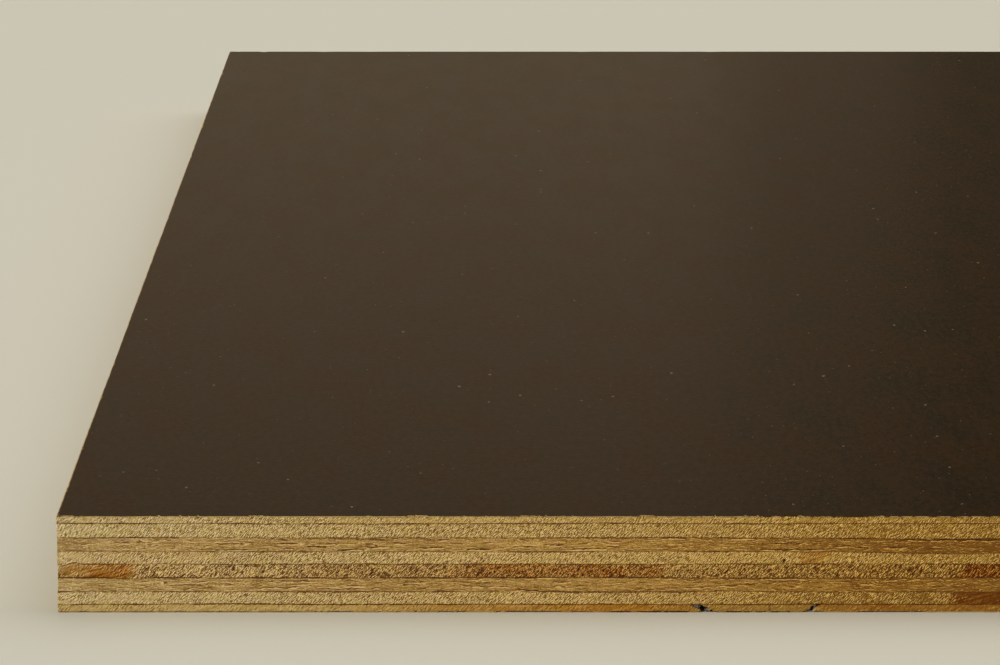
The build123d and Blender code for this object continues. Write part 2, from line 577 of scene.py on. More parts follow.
# Stains of each layer: first and last pixel column, fades before and after in millimetres, strength
STAINS = {
    "back_veneer": (
        (40, 110, 1.0, 20.0, 0.25), (640, 695, 70.0, 1.0, 1.3), (822, 1010, 1.0, 20.0, 0.75),
    ),
    "lower_core_veneer": (
        (40, 120, 1.0, 20.0, 0.15), (955, 1060, 0.5, 4.0, 1.1), (970, 1060, 1.5, 4.0, 0.6),
    ),
    "lower_centre_veneer": (
        (64, 118, 2.5, 5.0, 0.75), (102, 120, 4.0, 3.0, 0.3), (330, 430, 8.0, 8.0, 0.3),
        (470, 652, 5.0, 5.0, 0.9), (964, 1080, 1.0, 4.0, 1.35),
    ),
    "upper_centre_veneer": ((799, 824, 0.4, 1.5, 0.8), (40, 160, 1.0, 30.0, 0.35)),
    "upper_crossband": ((40, 140, 1.0, 30.0, 0.12),),
}
STAIN_END = (1.6, 0.7)
STAIN_PATCH = (3.1, 1.1)
UNSEEN_STAIN_LENGTH = 38
UNSEEN_STAIN = 0.8
STRONGEST_STAIN = 1.5


def stain_field(name, along, height, seed):
    """Where the wood is stained, 0 to STRONGEST_STAIN: the stains seen, with uneven strength and
    wandering ends, and beyond the photographed length the peaks of a slow noise."""
    amount = np.zeros(along.shape)
    place = along + spots(along, height, STAIN_END, seed) - 0.5 * (height - height.mean())
    uneven = 0.85 + 0.25 * spots(along, height, STAIN_PATCH, seed + 2)
    for first_px, last_px, fade_in, fade_out, strength in STAINS.get(name, ()):
        start, end = from_left(first_px), from_left(last_px)
        here = smooth_step(start - fade_in, start, place) * (1 - smooth_step(end, end + fade_out, place))
        amount = amount + strength * uneven * here
    unseen = 1 - stretch(along, -6.0, PHOTOGRAPHED_LENGTH + 8, 6.0)
    slow = smooth_step(0.35, 0.75, ripple(along / UNSEEN_STAIN_LENGTH, seed + 1))
    return np.clip(amount + unseen * slow * UNSEEN_STAIN, 0, STRONGEST_STAIN)


# Painted warm shade: over this length from the left end the wood turns warmer and darker, for light
# that falls off and grows warmer to the right
WARM_SHADE_OVER = 150.0


def warm_shade_and_age_field(along, seed):
    """How much warmer the wood is tinted, 0 to 1: painted warm shade rising along the fine stretch, for
    light that falls off to the right, and elsewhere a slow ripple of the wood's own yellowing."""
    seen = np.clip(along / WARM_SHADE_OVER, 0, 1) ** 0.75
    slow = 0.6 + 0.35 * ripple(along / 95, 31) + 0.15 * ripple(along / 21, seed)
    share = stretch(along, -4.0, PHOTOGRAPHED_LENGTH, 70.0)
    return np.clip(seen * share + slow * (1 - share), 0, 1)


# Rows of a wall: spacing in the layer, and the first rows next to a glue line
END_GRAIN_ROW = 0.15
LONG_GRAIN_ROW = 0.092
GLUE_ROWS = np.array([0.0, 0.05, 0.11])
GLUE_GROOVE = 0.10
GLUE_GROOVE_WIDTH = 0.10
SAW_WAVES = ((23, 0.05), (6, 0.03))

# For each veneer: how far its sawn edge stands back from the frame before its relief, the size of its
# torn strokes, how pale it is, and how much painted shade darkens it from the right end of the fine
# stretch on, for light that falls off to the right
VENEERS = {
    "back_veneer": (0.12, 0.9, 0.2, 0.5), "lower_core_veneer": (0.1, 1.05, 0.2, 0.7),
    "lower_crossband": (0.17, 1.0, 0.0, 0.3), "lower_centre_veneer": (0.22, 1.25, 0.5, 0.6),
    "upper_centre_veneer": (0.1, 0.95, 0.2, 0.3), "upper_crossband": (0.16, 1.0, 0.0, 0.5),
    "upper_core_veneer": (0.1, 0.95, 0.1, 0.4), "face_veneer": (0.06, 1.0, 0.1, 0.3),
}
# Painted shade rises between these two pixel columns of the front edge, and stays beyond them
PAINTED_SHADE_PX = (550, 1000)
TONE_PATCH = (11, 6)
# The lower centre veneer is darker by this much at the left corner, and recovers between two columns
DARK_CORNER = 0.5
DARK_CORNER_PX = (80, 300)
# The saw left the wood smooth at the left corner, and rough from the second column on
SAW_ROUGHNESS = (0.65, 1.25)
ROUGHENS_PX = (80, 350)
# Smoother stretch of a layer: first and last pixel column, and how much of the roughness is left
SMOOTH_SAWN = {
    "back_veneer": (170, 1100, 0.4), "face_veneer": (300, 1100, 0.5), "lower_core_veneer": (962, 1100, 0.25),
    "upper_centre_veneer": (801, 826, 0.3), "lower_centre_veneer": (66, 128, 0.3),
}


def row_shares(thickness, spacing):
    """A veneer's rows as shares of its thickness: GLUE_ROWS from both glue lines, and between them rows
    as near to spacing as divide the rest evenly."""
    last = GLUE_ROWS[-1]
    inner = np.linspace(last, thickness - last, round((thickness - 2 * last) / spacing) + 1)
    return np.concatenate([GLUE_ROWS[:-1], inner, thickness - GLUE_ROWS[-2::-1]]) / thickness


def saw_roughness(name, along):
    """How rough the saw left the edge: rising from the left corner, and less on a smoother stretch."""
    smooth, torn = SAW_ROUGHNESS
    rough = smooth + (torn - smooth) * rise_over(ROUGHENS_PX, along)
    if name in SMOOTH_SAWN:
        first_px, last_px, left_over = SMOOTH_SAWN[name]
        rough = rough * (1 - (1 - left_over) * stretch_px(along, first_px, last_px, 2.0))
    return rough


def veneer_rows(name):
    """Heights of a veneer's rows of points, their distance to the nearer glue line, and how dark that
    line is. The rows run from the glue line below to the one above, close together near both."""
    index = LAYERS.index(name)
    way = rim["along"]
    spacing = LONG_GRAIN_ROW if name in CROSSBANDS else END_GRAIN_ROW
    shares = row_shares(layer_top[name] - layer_floor[name], spacing)[:, None]
    low, high = glue_line(index - 1, way), glue_line(index, way)
    height = low + shares * (high - low)
    glue = np.where(shares < 0.5, glue_darkness(index - 1, way), glue_darkness(index, way))
    return height, np.minimum(height - low, high - height), glue


def glue_groove(glue, to_glue, seed):
    """Depth of the grooves along the glue lines: deeper at a darker line, and uneven along the rim."""
    groove = GLUE_GROOVE * np.minimum(1.3 * glue, 1) * (0.9 + 0.9 * ripple(rim["along"] / 2.3, seed))
    return groove * (1 - smooth_step(0, GLUE_GROOVE_WIDTH, to_glue))


def veneer(name):
    """One veneer with its sawn edge. The depth of a point is the layer's set-back, the relief of its
    grain, the groove at the glue line, the slow wave of the saw, and that layer's cracks, pits, bark
    pocket or hole."""
    seed = 1000 + 10 * LAYERS.index(name)
    floor, top = layer_floor[name], layer_top[name]
    height, to_glue, glue = veneer_rows(name)
    along = np.broadcast_to(rim["along"], height.shape)
    end_grain = np.broadcast_to(rim["long_edge"] != (name in CROSSBANDS), height.shape)

    set_back, stroke_size, paleness, painted_shade_to_right = VENEERS[name]
    rough = saw_roughness(name, along)
    strokes = torn_strokes(along, height, seed, stroke_size) * rough
    fibres, split = drawn_fibres(along, height, seed + 5)
    depth = set_back + np.where(end_grain, strokes, fibres) + glue_groove(glue, to_glue, seed + 8)
    depth = depth + ripples(rim["along"], SAW_WAVES, 11)
    dark = np.where(end_grain, 0.0, 0.3 * split)
    # Painted shade towards the right, for light that falls off, taken from the layer's own paleness
    tone_and_painted_light = paleness - painted_shade_to_right * rise_over(PAINTED_SHADE_PX, along)
    tone_and_painted_light = tone_and_painted_light + 0.06 * spots(along, height, TONE_PATCH, seed + 3)
    bark = crumb = np.zeros(height.shape)

    if name in CROSSBANDS:
        cracks, lips = crossband_cracks(along, height)
        depth = depth + cracks - LIP_RISE * lips
        # Painted shade: a crack is darker the deeper it is, and its lip gets a painted highlight
        dark = np.maximum(dark, smooth_step(0.02, 0.13, cracks))
        tone_and_painted_light = tone_and_painted_light + LIP_HIGHLIGHT * lips
    else:
        pit_depth, pit_dark = pits(name, along, height, to_glue, rough, seed)
        depth = depth + pit_depth * end_grain
        dark = np.maximum(dark, pit_dark * end_grain)
    if name == "lower_centre_veneer":
        tone_and_painted_light = tone_and_painted_light - DARK_CORNER * (1 - rise_over(DARK_CORNER_PX, along))
    if name == "back_veneer":
        bark = bark_pockets(along, height, floor, top)
        crumb = smooth_step(-0.05, 0.25, spots(along, height, BARK_CRUMB, 505))
        depth = depth + BARK_DEPTH * bark * (1 - CRUMBS_FILL * crumb)
        tone_and_painted_light = tone_and_painted_light - KNOT_DARKER * stretch_px(along, *KNOT_PX, 0.6)
    if name == "upper_centre_veneer":
        hole = small_hole(along, height)
        depth = depth + HOLE[-1] * hole
        # Painted shade: the hole is coloured dark
        dark = np.maximum(dark, hole)
    fields = {
        "to_glue": to_glue, "glue": glue, "dark": dark, "bark": bark, "crumb": crumb, "tone_and_painted_light": tone_and_painted_light,
        "stain": stain_field(name, along, height, seed + 7), "warm_shade_and_age": warm_shade_and_age_field(along, seed + 2),
        "rough": rough, "end_grain": end_grain.astype(float),
    }
    return ringed_layer(name + "_sawn", floor, top, height, np.maximum(depth, 0.0), fields)


# Films

FILM_SET_BACK = 0.10
# The film is scraped further back along the short ends, and chipped less
FILM_SCRAPED = 0.12
CHIPPED_LESS = 0.3
FILM_RIPPLES = ((3, 0.05), (0.6, 0.06))
CHIP_DEPTH = 0.5
# How much further in the outer arris lies, and the row beyond it that keeps the edge's colour off the face
ARRIS = 0.04
FACE_MARGIN = 0.05
# Stretches where the sawn film shows dark between paler stretches, partly a smear of wood and partly
# painted light: first and last pixel column, and how much. Beyond the photographed length it shows by
# FILM_SHOWS_BEYOND. It always shows in dashes
FILM_SHOWS = {
    "back_film": (
        (56, 300, 0.45), (300, 440, 0.15), (440, 500, 0.1), (558, 612, 0.5), (612, 790, 1.0),
        (790, 870, 0.3), (870, 1010, 0.1),
    ),
    "face_film": ((56, 130, 0.35), (130, 440, 0.12), (440, 760, 0.4), (760, 1010, 0.8)),
}
FILM_SHOWS_BEYOND = 0.5
FILM_DASHES = ((1.2, 1.0), (0.4, 0.5))
# Places where a film's edge has broken away: first and last pixel column, depth
FILM_BREAKS = {
    "back_film": (
        (508, 560, 1.2), (575, 584, 0.8), (440, 452, 0.6), (862, 910, 0.9), (918, 926, 0.7),
        (330, 352, 0.6), (700, 716, 0.6), (806, 822, 0.6),
    ),
    "face_film": (
        (640, 653, 1.0), (408, 426, 0.9), (786, 801, 0.9), (58, 70, 0.7), (520, 534, 0.6), (250, 262, 0.6),
    ),
}


def film_shows(name, along, seed):
    """How much the dark sawn film shows between paler stretches, partly a smear of wood over it and partly
    painted light, 0 to 1: the amount of each stretch, broken up into dashes."""
    seen = stretch(along, 0.0, PHOTOGRAPHED_LENGTH, 0.5)
    shows = FILM_SHOWS_BEYOND * (1 - seen)
    for first_px, last_px, amount in FILM_SHOWS[name]:
        shows = shows + amount * stretch_px(along, first_px, last_px, 0.3) * seen
    dashes = smooth_step(-0.5, 0.3, ripples(along, FILM_DASHES, seed))
    return np.clip(shows * (0.35 + 0.9 * dashes), 0, 1)


def film(name):
    """One film, a thin plate with a chipped edge. The edge stands back by FILM_SET_BACK, plus small
    ripples, plus chips where a quick noise peaks, plus the breaks. A chip reaches further in on the
    outer face. The field sawn is 1 on the edge and 0 on the face."""
    floor, top = layer_floor[name], layer_top[name]
    seed = 2000 if name == "face_film" else 2100
    along, long_edge = rim["along"], rim["long_edge"]
    edge = FILM_SET_BACK + ripples(along, FILM_RIPPLES, seed) + FILM_SCRAPED * ~long_edge
    chips = smooth_step(0.25, 0.8, ripple(along / 0.55, seed + 2))
    chips = chips * smooth_step(-0.5, 0.4, ripple(along / 6, seed + 3))
    chips = chips * np.where(long_edge, 1.0, CHIPPED_LESS)
    ragged = 0.7 + 0.3 * ripple(along / 0.5, seed + 4)
    broken = np.zeros_like(along)
    for first_px, last_px, deep in FILM_BREAKS[name]:
        broken = np.maximum(broken, deep * ragged * stretch_px(along, first_px, last_px, 0.5))
    inner_edge = np.maximum(edge + CHIP_DEPTH * chips + broken, 0)
    outer_edge = inner_edge + ARRIS + CHIP_DEPTH * chips + 0.2 * broken
    depths = np.stack([inner_edge, outer_edge, outer_edge + FACE_MARGIN])
    levels, sawn = [floor, top, top], [1.0, 1.0, 0.0]
    if name == "back_film":
        depths, levels, sawn = depths[::-1], [floor, floor, top], sawn[::-1]
    heights = np.array(levels)[:, None] * np.ones_like(along)
    fields = {
        "sawn": np.array(sawn)[:, None] * np.ones_like(along),
        "shows": np.broadcast_to(film_shows(name, along, seed + 5), heights.shape),
    }
    return ringed_layer(name + "_pressed", floor, top, heights, depths, fields)


# Node trees

def wire(tree, node, wires):
    """Fills a node's inputs, by name or number, with values or with other nodes' outputs."""
    for key, value in wires.items():
        if isinstance(value, bpy.types.NodeSocket):
            tree.links.new(value, node.inputs[key])
        else:
            node.inputs[key].default_value = value
    return node


def put(tree, kind, wires=None, **settings):
    """A new node with its settings made and its inputs filled."""
    made = tree.nodes.new("ShaderNode" + kind)
    for key, value in settings.items():
        setattr(made, key, value)
    return wire(tree, made, wires or {})


def fed(kind, wires, output=0, **settings):
    """An output of a new node, made in the tree that the node's inputs come from."""
    tree = next(value.id_data for value in wires.values() if isinstance(value, bpy.types.NodeSocket))
    return put(tree, kind, wires, **settings).outputs[output]


def maths(operation, a, b=0.0, c=0.0):
    """A calculation with up to three numbers."""
    return fed("Math", {0: a, 1: b, 2: c}, operation=operation)


def times(a, b):
    """a times b."""
    return maths("MULTIPLY", a, b)


def times_plus(a, b, c):
    """a times b, plus c."""
    return maths("MULTIPLY_ADD", a, b, c)


def minus(a, b):
    """a minus b."""
    return maths("SUBTRACT", a, b)


def moved(place, shift):
    """Coordinates with a shift added."""
    return fed("VectorMath", {0: place, 1: shift}, operation="ADD")


def scaled(place, scale):
    """Coordinates multiplied by a scale for each axis."""
    return fed("VectorMath", {0: place, 1: scale}, operation="MULTIPLY")


def ramp(value, low, high, out_low=0.0, out_high=1.0):
    """A number carried smoothly from one range to another, and held at its ends."""
    wires = {"Value": value, "From Min": low, "From Max": high, "To Min": out_low, "To Max": out_high}
    return fed("MapRange", wires, interpolation_type="SMOOTHSTEP")


def part_way(value, low, high):
    """How far a number is from low to high, 0 to 1."""
    return fed("MapRange", {"Value": value, "From Min": low, "From Max": high})


def tint(factor, first, second, blend="MIX"):
    """Two colours mixed."""
    return fed("Mix", {0: factor, 6: first, 7: second}, 2, data_type="RGBA", blend_type=blend)


def grain_noise(place, size, angle=0.0, detail=1.0):
    """Flat noise whose spots are size = (length, width) millimetres, turned by angle."""
    turned = fed("VectorRotate", {"Vector": place, "Angle": -angle}, rotation_type="Z_AXIS")
    vector = scaled(turned, (1 / size[0], 1 / size[1], 1.0))
    wires = {"Vector": vector, "Scale": 1.0, "Detail": detail, "Roughness": 0.6}
    return fed("TexNoise", wires, noise_dimensions="2D")


def new_group(name, numbers, outputs):
    """A node group that takes a place and some named numbers, and puts out named numbers."""
    tree = bpy.data.node_groups.new(name, "ShaderNodeTree")
    tree.interface.new_socket("Place", in_out="INPUT", socket_type="NodeSocketVector")
    for in_out, labels in (("INPUT", numbers), ("OUTPUT", outputs)):
        for label in labels:
            tree.interface.new_socket(label, in_out=in_out, socket_type="NodeSocketFloat")
    return tree, tree.nodes.new("NodeGroupInput").outputs, tree.nodes.new("NodeGroupOutput")


# Marks in sawn end grain: length and width in millimetres, and angle
LONG_STROKE = (0.95, 0.15)
SHORT_STROKE = (0.36, 0.13)
SHORT_STROKE_ANGLE = STROKE_ANGLE * 1.05
# A painted highlight along a stroke, and the painted shadow shifted beside it, for light from the left
PAINTED_LIGHT_STROKE = (0.7, 0.13)
SHADOW_SHIFT = (-0.13, 0.11, 0.0)
TORN_PATCH = (4.0, 1.6)
FLOW_LINE = (5.0, 0.32)
FLOW_ANGLE = math.radians(14)
PIT = (0.24, 0.16)
PIT_ANGLE = STROKE_ANGLE * 1.1


def end_grain_group():
    """Sawn end grain: leaning torn strokes, long and short, painted highlights on some strokes with
    painted shadows beside them, slow flow lines where the cut is smooth, and dark pits, partly painted
    shade."""
    numbers = ("Size", "Pits", "Contrast", "Smooth")
    tree, given, result = new_group("sawn end grain", numbers, ("Tone", "Pit", "Height"))
    shrinking = maths("DIVIDE", 1.0, given["Size"])
    place = fed("VectorMath", {0: given["Place"], "Scale": shrinking}, operation="SCALE")
    strokes = grain_noise(place, LONG_STROKE, STROKE_ANGLE, 0.5)
    short = grain_noise(place, SHORT_STROKE, SHORT_STROKE_ANGLE, 0.5)
    patch = ramp(grain_noise(place, TORN_PATCH), 0.40, 0.60)
    torn = times_plus(strokes, 0.62, times(short, 0.38))
    strength = times(given["Contrast"], times_plus(patch, 4.4, 2.7))
    tone = times_plus(minus(torn, 0.5), strength, 0.5)

    # Painted highlights on strokes, and painted shadows beside them
    beside = moved(place, SHADOW_SHIFT)
    painted_highlight = ramp(grain_noise(place, PAINTED_LIGHT_STROKE, STROKE_ANGLE, 0.0), 0.61, 0.70)
    shadow = ramp(grain_noise(beside, PAINTED_LIGHT_STROKE, STROKE_ANGLE, 0.0), 0.61, 0.70)
    pair = times_plus(shadow, -1.15, times(painted_highlight, 1.25))
    pair = times(pair, times_plus(patch, 0.8, 0.4))
    tone = times_plus(pair, given["Contrast"], tone)
    flow = minus(grain_noise(place, FLOW_LINE, FLOW_ANGLE, 1.5), 0.5)
    tone = times_plus(times(flow, 1.1), given["Smooth"], tone)

    # Dark pits, their colour partly painted shade
    pit_noise = grain_noise(place, PIT, PIT_ANGLE, 0.5)
    limit = times_plus(given["Pits"], -0.12, times_plus(patch, -0.03, 0.72))
    pit = ramp(minus(pit_noise, limit), 0.0, 0.05)
    wire(tree, result, {"Tone": tone, "Pit": pit, "Height": times_plus(pit, -0.5, torn)})
    return tree


# Marks in sawn long grain: length and width in millimetres
GRAIN_BEND = (5.0, 3.0)
GRAIN_BEND_RISE = 1.1
BROAD_GRAIN = (6.0, 0.55)
FINE_GRAIN = (1.4, 0.17)
UPRIGHT_MARK = (0.2, 4.0)
MARKED_PATCH = (7.0, 5.0)
SPLIT = (1.2, 0.14)
# Shift from a split to the painted highlight on its lip
HIGHLIGHT_SHIFT = (0.05, 0.17, 0.0)
LINE_SPACING = 0.6
LINE_BEND = (9.0, 1.5)
LINED_PATCH = (3.2, 0.42)
SPECK = (0.34, 0.16)


def long_grain_group():
    """Sawn long grain: calm fibres along the edge, upright marks in patches, thin dark lines
    LINE_SPACING apart that wander and break off, each with a painted highlight line beside it, small
    specks, and short splits with a painted highlight below, where their lip would catch the light."""
    tree, given, result = new_group("sawn long grain", (), ("Tone", "Split", "Height"))
    place = given["Place"]
    wander = times(grain_noise(place, GRAIN_BEND), GRAIN_BEND_RISE)
    bent = moved(place, fed("CombineXYZ", {"Y": wander}))
    broad, fine = grain_noise(bent, BROAD_GRAIN), grain_noise(bent, FINE_GRAIN)
    fibres = times_plus(broad, 0.5, times(fine, 0.5))
    marked = ramp(grain_noise(place, MARKED_PATCH, 0.0, 0.0), 0.55, 0.7)
    marks = times(minus(grain_noise(place, UPRIGHT_MARK, 0.0, 0.0), 0.5), marked)
    split = ramp(grain_noise(bent, SPLIT), 0.70, 0.75)
    # Painted highlight on the lip below each split
    lip = ramp(grain_noise(moved(bent, HIGHLIGHT_SHIFT), SPLIT), 0.66, 0.74, 0.0, 1.1)

    lines_up = maths("DIVIDE", fed("SeparateXYZ", {0: bent}, "Y"), LINE_SPACING)
    ring = times_plus(grain_noise(place, LINE_BEND, 0.0, 2.0), 2.6, lines_up)
    ring = minus(maths("FRACT", ring), 0.5)
    parted = ramp(grain_noise(place, LINED_PATCH, 0.0, 1.5), 0.50, 0.60)
    # Thin dark lines, each with a painted highlight line beside it
    dark_line = ramp(maths("ABSOLUTE", ring), 0.05, 0.17, 1.0, 0.0)
    beside = maths("ABSOLUTE", maths("ADD", ring, 0.25))
    highlight_line = ramp(beside, 0.05, 0.15, 1.0, 0.0)
    lined = times_plus(dark_line, -1.15, times(highlight_line, 0.7))

    tone = times_plus(marks, 0.25, times_plus(fibres, 1.4, -0.2))
    specks = minus(grain_noise(place, SPECK, 0.0, 0.5), 0.5)
    tone = times_plus(specks, 0.9, tone)
    tone = maths("ADD", times_plus(lined, parted, tone), lip)
    wire(tree, result, {"Tone": tone, "Split": split, "Height": times_plus(split, -0.7, fibres)})
    return tree


GLUE_SPOT = (0.5, 0.2)
GLUE_HALF_WIDTH = 0.1


def glue_group():
    """The dark line of glue: its darkness falls with the distance from the boundary, unevenly."""
    tree, given, result = new_group("glue line", ("Distance", "Strength"), ("Mask",))
    ragged = grain_noise(given["Place"], GLUE_SPOT, 0.0, 2.0)
    reach = times(GLUE_HALF_WIDTH, times_plus(ragged, 3.0, -0.5))
    reach = times(reach, times_plus(given["Strength"], 0.8, 0.4))
    reached = maths("DIVIDE", given["Distance"], maths("MAXIMUM", reach, 0.01))
    wire(tree, result, {"Mask": times(ramp(reached, 0.6, 1.6, 1.0, 0.0), given["Strength"])})
    return tree


END_GRAIN = end_grain_group()
LONG_GRAIN = long_grain_group()
GLUE_LINE = glue_group()


def group_node(tree, group, wires):
    """The outputs of a node group placed in a material."""
    made = tree.nodes.new("ShaderNodeGroup")
    made.node_tree = group
    return wire(tree, made, wires).outputs


def field(tree, name):
    """A number that the mesh holds at each point."""
    return put(tree, "Attribute", attribute_name=name).outputs["Fac"]


def empty_material(name):
    """A material and its node tree, without nodes."""
    material = bpy.data.materials.new(name)
    material.use_nodes = True
    material.node_tree.nodes.clear()
    return material, material.node_tree


def surface(tree, colour, roughness, bumped, shine):
    """The shader of a material and its output."""
    look = {"Base Color": colour, "Roughness": roughness, "Normal": bumped, "Specular IOR Level": shine}
    put(tree, "OutputMaterial", {"Surface": fed("BsdfPrincipled", look)})


def three_tones(tone, colours):
    """The first colour at tone 0, the second at 0.5 and the third at 1."""
    darker = tint(part_way(tone, 0.0, 0.5), colours[0], colours[1])
    return tint(part_way(tone, 0.5, 1.0), darker, colours[2])


def rgb(red, green, blue):
    """A colour with full opacity."""
    return (red, green, blue, 1.0)


GLUE_COLOUR = rgb(0.115, 0.045, 0.012)
# Dark colour of cracks, splits, pits and the hole, partly painted shade in them
CRACK_COLOUR = rgb(0.11, 0.036, 0.010)
# Colour of the pits, partly painted shade in them
PIT_COLOUR = rgb(0.15, 0.070, 0.020)
# Near black: dark bark, and painted shade of the deep pocket and the check
BARK_AND_POCKET_SHADE = rgb(0.012, 0.009, 0.008)
BARK_BIT_COLOUR = rgb(0.14, 0.125, 0.105)
BARK_BIT = (0.3, 0.22)
# Tint of the painted warm shade, and of yellowed wood beyond the fine stretch
WARM_SHADE_AND_AGE_TINT = rgb(0.92, 0.725, 0.36)
ROSY_TINT = rgb(1.02, 0.965, 0.99)
GOLDEN_TINT = rgb(1.0, 0.99, 0.88)
HUE_PATCH = (3.2, 1.1)
WOOD_ROUGHNESS = 0.75
WOOD_SHINE = 0.3
WOOD_BUMP_DEPTH = 0.45 * MM

# Sawn wood in its dark, middle and pale tones
PALE_END = (rgb(0.17, 0.093, 0.018), rgb(0.43, 0.315, 0.113), rgb(0.76, 0.65, 0.39))
DEEP_END = (rgb(0.13, 0.060, 0.008), rgb(0.41, 0.272, 0.084), rgb(0.76, 0.59, 0.30))
TAN_END = (rgb(0.27, 0.170, 0.052), rgb(0.41, 0.290, 0.100), rgb(0.60, 0.48, 0.22))
PALE_LONG = (rgb(0.22, 0.125, 0.036), rgb(0.42, 0.28, 0.092), rgb(0.66, 0.49, 0.21))
ROSY_LONG = (rgb(0.17, 0.085, 0.017), rgb(0.37, 0.250, 0.085), rgb(0.68, 0.53, 0.28))


def veneer_material(
    name, seed, end_colours, long_colours, stain_colour, size=1.0, pits=0.5, contrast=1.0, bump=0.3
):
    """Raw sawn veneer: end grain or long grain by the side of the sheet, stained and tinted warmer where the
    fields say so, the warmth painted warm shade and yellowing, with dark pits, splits, glue lines and bark,
    the dark of pits, splits and bark partly painted shade. A stain leaves the pale strokes and painted
    highlights pale."""
    material, tree = empty_material(name)
    edge = scaled(put(tree, "UVMap", uv_map="edge").outputs[0], (1 / MM, 1 / MM, 1.0))
    place = moved(edge, (seed * 3.7, seed * 1.3, 0.0))
    rough = field(tree, "rough")
    end = {"Place": place, "Size": size, "Smooth": ramp(rough, 0.35, 0.8, 1.0, 0.0)}
    end["Pits"], end["Contrast"] = times(rough, pits), times(rough, contrast)
    end = group_node(tree, END_GRAIN, end)
    long = group_node(tree, LONG_GRAIN, {"Place": place})

    tone_and_painted_light = field(tree, "tone_and_painted_light")
    end_colour = three_tones(maths("ADD", end["Tone"], tone_and_painted_light), end_colours)
    end_colour = tint(times(end["Pit"], 0.85), end_colour, PIT_COLOUR)
    long_colour = three_tones(maths("ADD", long["Tone"], tone_and_painted_light), long_colours)
    # Splits darkened, partly painted shade in them
    long_colour = tint(times(long["Split"], 0.9), long_colour, CRACK_COLOUR)
    which = field(tree, "end_grain")
    colour = tint(which, long_colour, end_colour)
    hue = ramp(grain_noise(place, HUE_PATCH, 0.0, 2.0), 0.35, 0.65)
    colour = tint(1.0, colour, tint(hue, ROSY_TINT, GOLDEN_TINT), "MULTIPLY")
    # Painted warm shade along the fine stretch, and yellowing elsewhere
    colour = tint(field(tree, "warm_shade_and_age"), colour, tint(1.0, colour, WARM_SHADE_AND_AGE_TINT, "MULTIPLY"))
    kept_pale = ramp(end["Tone"], 0.45, 1.1, 1.0, 0.55)
    stain = times(field(tree, "stain"), kept_pale)
    colour = tint(stain, colour, tint(1.0, colour, stain_colour, "MULTIPLY"))
    # Cracks, pits, splits and the hole darkened, partly painted shade in them
    colour = tint(field(tree, "dark"), colour, CRACK_COLOUR)
    glue = {"Distance": field(tree, "to_glue"), "Strength": field(tree, "glue"), "Place": place}
    colour = tint(group_node(tree, GLUE_LINE, glue)["Mask"], colour, GLUE_COLOUR)
    bits = ramp(grain_noise(place, BARK_BIT, 0.5, 0.5), 0.32, 0.5)
    bits = times(field(tree, "crumb"), bits)
    # Bark pocket and check: painted shade in them, with crumbs of bark
    colour = tint(field(tree, "bark"), colour, tint(bits, BARK_AND_POCKET_SHADE, BARK_BIT_COLOUR))

    rise = fed("Mix", {0: which, 2: long["Height"], 3: end["Height"]}, data_type="FLOAT")
    bumped = {"Height": times(rise, rough), "Strength": bump, "Distance": WOOD_BUMP_DEPTH}
    surface(tree, colour, WOOD_ROUGHNESS, fed("Bump", bumped), WOOD_SHINE)
    return material


# The film: dark and light tone, and marks with their length and width in millimetres
FILM_DARK = rgb(0.0120, 0.0058, 0.0015)
FILM_LIGHT = rgb(0.0232, 0.0115, 0.0033)
FILM_REDDER = rgb(1.09, 0.99, 0.93)
FILM_GREENER = rgb(0.93, 1.0, 1.03)
FILM_BLOTCH = (9.0, 34.0)
FILM_GRAIN = (0.9, 1.6)
FILM_MOTTLE = (1.3, 4.0)
FILM_HUE_PATCH = (14.0, 40.0)
FILM_ROUGHNESS = (0.29, 0.31)
FILM_SHINE = 0.01
FILM_BUMP_DEPTH = 0.1 * MM
# Dust: specks to a millimetre, size of the biggest in cells of that scale, and strength
DUST = ((0.16, 0.055, 0.4), (0.45, 0.08, 0.25))
DUST_COLOUR = rgb(0.30, 0.26, 0.19)
# The sawn edge of the film, and the paler colour over it: partly a smear of wood, partly painted light
# that brightens the shade on the thin edge
SAWN_FILM = rgb(0.045, 0.024, 0.006)
SMEAR_AND_PAINTED_LIGHT_DARK = rgb(0.30, 0.19, 0.070)
SMEAR_AND_PAINTED_LIGHT_PALE = rgb(0.52, 0.37, 0.15)
SMEAR_AND_PAINTED_LIGHT_SPOT = (0.7, 0.7)


